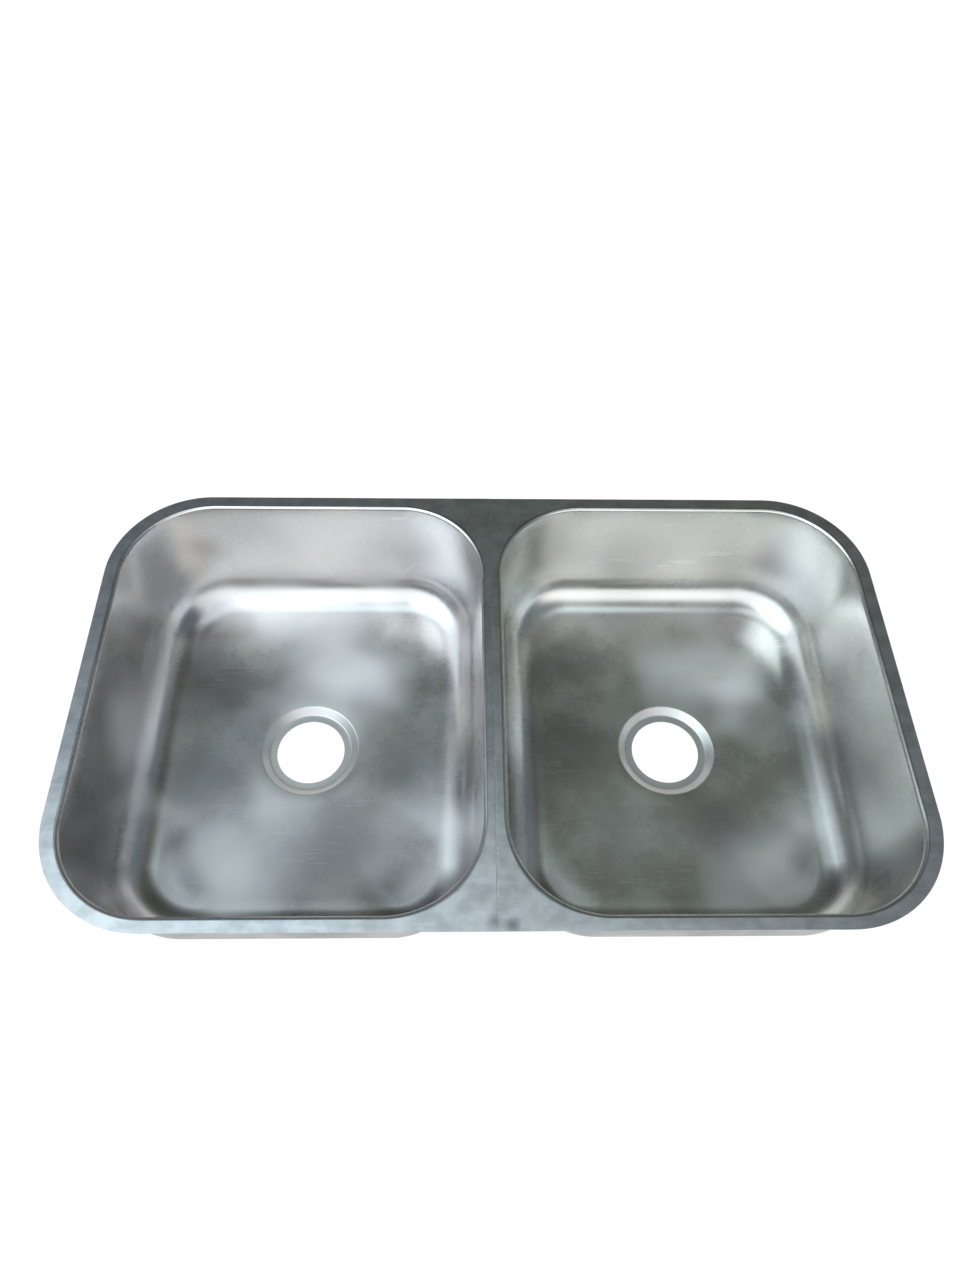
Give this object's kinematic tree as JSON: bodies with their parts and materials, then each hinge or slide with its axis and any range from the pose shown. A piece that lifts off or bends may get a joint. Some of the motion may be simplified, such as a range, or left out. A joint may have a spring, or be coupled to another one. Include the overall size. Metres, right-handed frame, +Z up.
{
  "type": "double bowl sink",
  "caption": "Undermount stainless steel kitchen sink: deep-drawn bowls side by side in a flat welded flange, each with a recessed drain hole in the middle.",
  "frame": {"origin": "middle of the outline, on the plane of the undersides of the two drain ledges", "axes": "+X to the right along the length, +Y to the back, +Z up out of the bowls"},
  "size_m": [0.96, 0.558, 0.1887],
  "materials": {
    "steel": "satin stainless steel, duller on the flange, with fine scratches",
    "weld": "ground weld, brushed along its length",
    "sound_mat": "matt black rubber sheet"
  },
  "bodies": {
    "root": {"left_bowl": "steel", "right_bowl": "steel", "seam_weld": "weld", "left_floor_mat_front": "sound_mat", "left_floor_mat_back": "sound_mat", "left_wall_mat_front": "sound_mat", "left_wall_mat_back": "sound_mat", "left_wall_mat_end": "sound_mat", "right_floor_mat_front": "sound_mat", "right_floor_mat_back": "sound_mat", "right_wall_mat_front": "sound_mat", "right_wall_mat_back": "sound_mat", "right_wall_mat_end": "sound_mat"}
  },
  "joints": []
}
